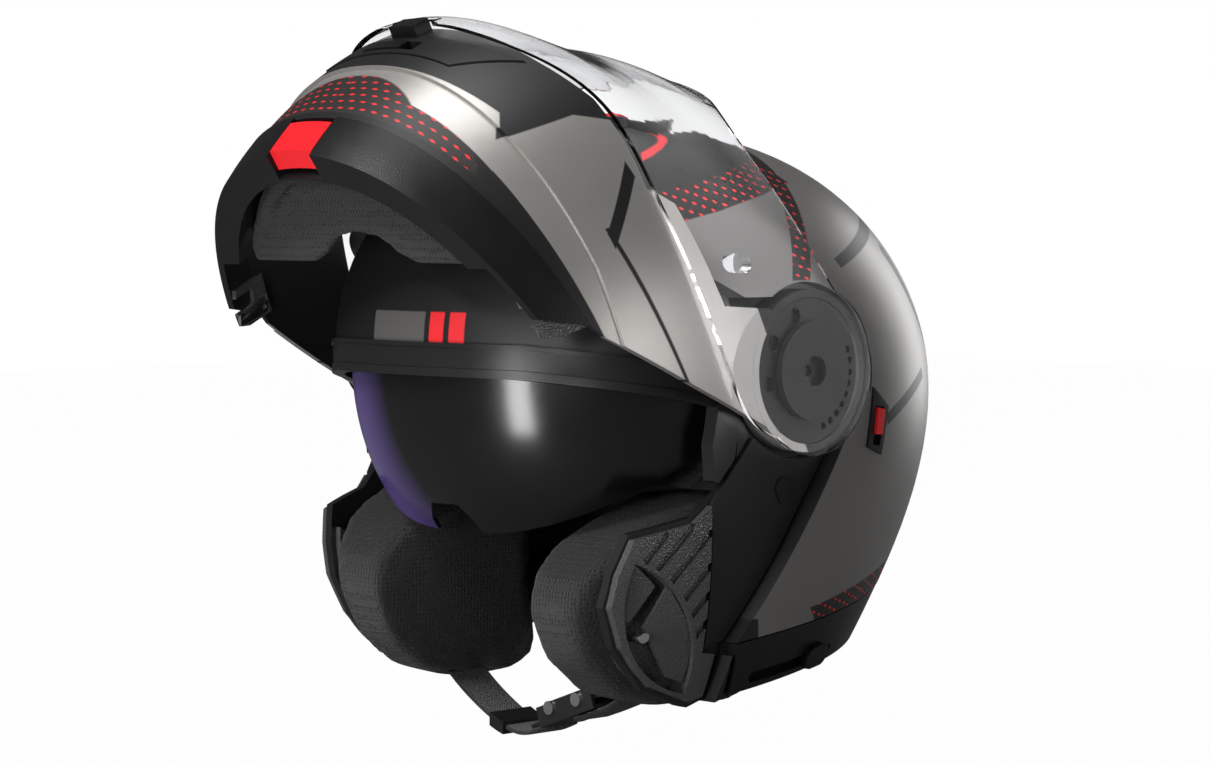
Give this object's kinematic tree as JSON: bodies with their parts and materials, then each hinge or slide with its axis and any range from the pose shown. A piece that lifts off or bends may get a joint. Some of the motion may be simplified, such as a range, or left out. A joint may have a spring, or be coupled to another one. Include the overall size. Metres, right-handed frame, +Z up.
{
  "type": "modular motorcycle helmet",
  "caption": "Flip-up full-face motorcycle helmet shown with the chin bar and clear visor raised, with a sun lens, vents, padded lining and a ratchet chin strap.",
  "frame": {"origin": "midway between the two side pivots, where the wearer's head is held", "axes": "+Z up, -Y the way the wearer looks, +X the wearer's left"},
  "size_m": [0.258, 0.3398, 0.3166],
  "materials": {
    "shell_paint": "satin black paint",
    "chin_paint": "painted grey, black and red",
    "trim_black": "fine matte",
    "satin_black": "satin",
    "rubber": "soft matte",
    "clear_visor": "clear polycarbonate",
    "smoke_lens": "smoke polycarbonate",
    "liner_foam": "bead foam",
    "pad_fabric": "knitted cloth",
    "webbing": "woven webbing",
    "steel": "plain",
    "red_plastic": "red"
  },
  "bodies": {
    "helmet": {"outer_shell": "shell_paint", "impact_liner": "liner_foam", "crown_pad": "pad_fabric", "cheek_pad_left": "pad_fabric", "cheek_pad_right": "pad_fabric", "neck_roll": "pad_fabric", "brow_gasket": "rubber", "port_trim_left": "rubber", "port_trim_right": "rubber", "rim_trim_left": "trim_black", "rim_trim_right": "trim_black", "rim_trim_rear": "trim_black", "side_panel_left": "trim_black", "side_panel_right": "trim_black", "port_plug": "trim_black", "latch_plate_left": "satin_black", "latch_plate_right": "satin_black", "striker_pin_left": "steel", "striker_pin_right": "steel", "pivot_hub_left": "steel", "pivot_hub_right": "steel", "lock_bezel": "trim_black", "top_vent_cover": "trim_black", "rear_vent": "trim_black", "strap_left": "webbing", "strap_right": "webbing", "strap_keeper": "rubber", "strap_anchor_left": "steel", "strap_anchor_right": "steel", "buckle_housing": "steel", "lever_pin": "steel", "stop_pin": "steel", "ratchet_strip": "satin_black", "strip_rivet_inner": "steel", "strip_rivet_outer": "steel"},
    "chin_bar": {"chin_bar_shell": "chin_paint", "chin_vent_cover": "trim_black", "visor_catch": "satin_black", "chin_rim_trim": "trim_black", "chin_foam": "liner_foam", "chin_mesh_pad": "pad_fabric", "latch_box_left": "satin_black", "latch_box_right": "satin_black", "visor_ratchet_left": "satin_black", "visor_ratchet_right": "satin_black"},
    "visor": {"visor_shield": "clear_visor", "visor_hub_left": "satin_black", "visor_hub_right": "satin_black", "antifog_pin_left": "clear_visor", "antifog_pin_right": "clear_visor"},
    "sun_visor": {"sun_visor": "smoke_lens"},
    "sun_visor_slider": {"sun_visor_slider": "trim_black"},
    "lock_lever": {"lock_lever": "red_plastic"},
    "top_vent_slider": {"top_vent_slider": "red_plastic"},
    "chin_vent_slider": {"chin_vent_slider": "satin_black"},
    "release_button": {"release_button": "red_plastic"},
    "latch_hook_left": {"latch_hook_left": "steel"},
    "latch_hook_right": {"latch_hook_right": "steel"},
    "buckle_lever": {"buckle_lever": "steel", "lever_tab": "red_plastic"}
  },
  "joints": [
    {"name": "chin_bar_hinge", "type": "hinge", "parent": "helmet", "child": "chin_bar", "pos_m": [0, 0, 0], "axis": [1, 0, 0], "range_deg": [0, 69]},
    {"name": "visor_hinge", "type": "hinge", "parent": "chin_bar", "child": "visor", "pos_m": [0, 0, 0], "axis": [1, 0, 0], "range_deg": [-35, 0]},
    {"name": "sun_visor_hinge", "type": "hinge", "parent": "helmet", "child": "sun_visor", "pos_m": [0, 0, 0], "axis": [1, 0, 0], "range_deg": [-38, 0]},
    {"name": "sun_visor_slide", "type": "slide", "parent": "helmet", "child": "sun_visor_slider", "axis": [0.1457, -0.9812, -0.1264], "range_m": [0, 0.028]},
    {"name": "lock_lever_slide", "type": "slide", "parent": "helmet", "child": "lock_lever", "axis": [0, 0, -1], "range_m": [0, 0.004]},
    {"name": "top_vent_slide", "type": "slide", "parent": "helmet", "child": "top_vent_slider", "axis": [0, 1, 0], "range_m": [0, 0.008]},
    {"name": "chin_vent_slide", "type": "slide", "parent": "chin_bar", "child": "chin_vent_slider", "axis": [1, 0, 0], "range_m": [0, 0.008]},
    {"name": "release_button_press", "type": "slide", "parent": "chin_bar", "child": "release_button", "axis": [0, 0.3584, -0.9336], "range_m": [0, 0.0025], "stiffness_N_per_m": 800},
    {"name": "latch_hook_left_turn", "type": "hinge", "parent": "chin_bar", "child": "latch_hook_left", "pos_m": [0.1031, -0.11507, 0.02492], "axis": [0.9295, -0.3378, 0.1483], "range_deg": [-20, 0]},
    {"name": "latch_hook_right_turn", "type": "hinge", "parent": "chin_bar", "child": "latch_hook_right", "pos_m": [-0.1031, -0.11507, 0.02492], "axis": [0.9295, 0.3378, -0.1483], "range_deg": [-20, 0]},
    {"name": "buckle_lever_hinge", "type": "hinge", "parent": "helmet", "child": "buckle_lever", "pos_m": [0.01418, -0.035, -0.15059], "axis": [0, -1, 0], "range_deg": [0, 35], "stiffness_Nm_per_rad": 0.05}
  ],
  "couplings": [
    {"joint": "sun_visor_slide", "follows": "sun_visor_hinge", "m_per_rad": -0.04222},
    {"joint": "latch_hook_right_turn", "follows": "latch_hook_left_turn", "ratio": 1}
  ]
}
